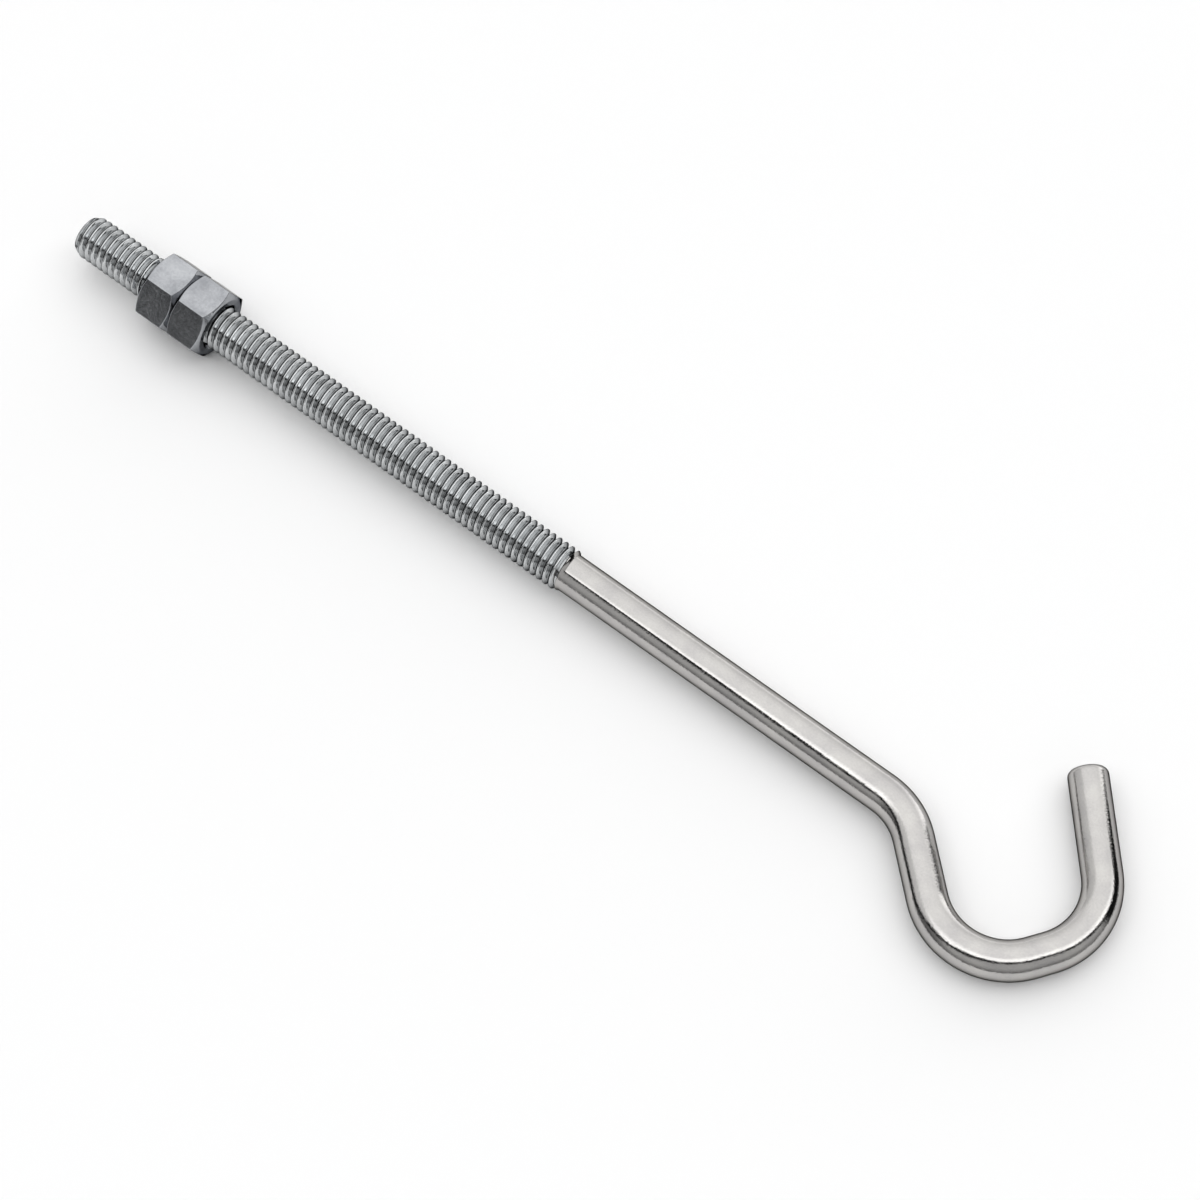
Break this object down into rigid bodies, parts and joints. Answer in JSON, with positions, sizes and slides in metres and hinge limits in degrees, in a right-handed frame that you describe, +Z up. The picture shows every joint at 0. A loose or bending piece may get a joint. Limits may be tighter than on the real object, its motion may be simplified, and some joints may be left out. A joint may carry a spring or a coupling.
{
  "type": "j bolt",
  "caption": "Steel hook bolt: a long threaded rod bent to an open J hook with its bowl in line with the shank, and plain hex nuts locked together on the thread.",
  "frame": {"origin": "middle of the threaded end, on the shank's axis", "axes": "+X along the shank towards the hook, the hook lies in the XY plane with its open end on the +Y side, +Z up from the surface the bolt lies on"},
  "size_m": [0.256, 0.0509, 0.0152],
  "materials": {
    "plated_rod": "bright zinc plate over drawn and rolled bar",
    "plated_nut": "bright zinc plate over cold-formed steel"
  },
  "bodies": {
    "hook_rod": {"hook_rod": "plated_rod"},
    "inner_nut": {"inner_nut": "plated_nut"},
    "outer_nut": {"outer_nut": "plated_nut"}
  },
  "joints": [
    {"name": "inner_nut_slide", "type": "slide", "parent": "hook_rod", "child": "inner_nut", "axis": [1, 0, 0], "range_m": [0, 0.0889]},
    {"name": "outer_nut_slide", "type": "slide", "parent": "hook_rod", "child": "outer_nut", "axis": [-1, 0, 0], "range_m": [0, 0.01588]}
  ]
}
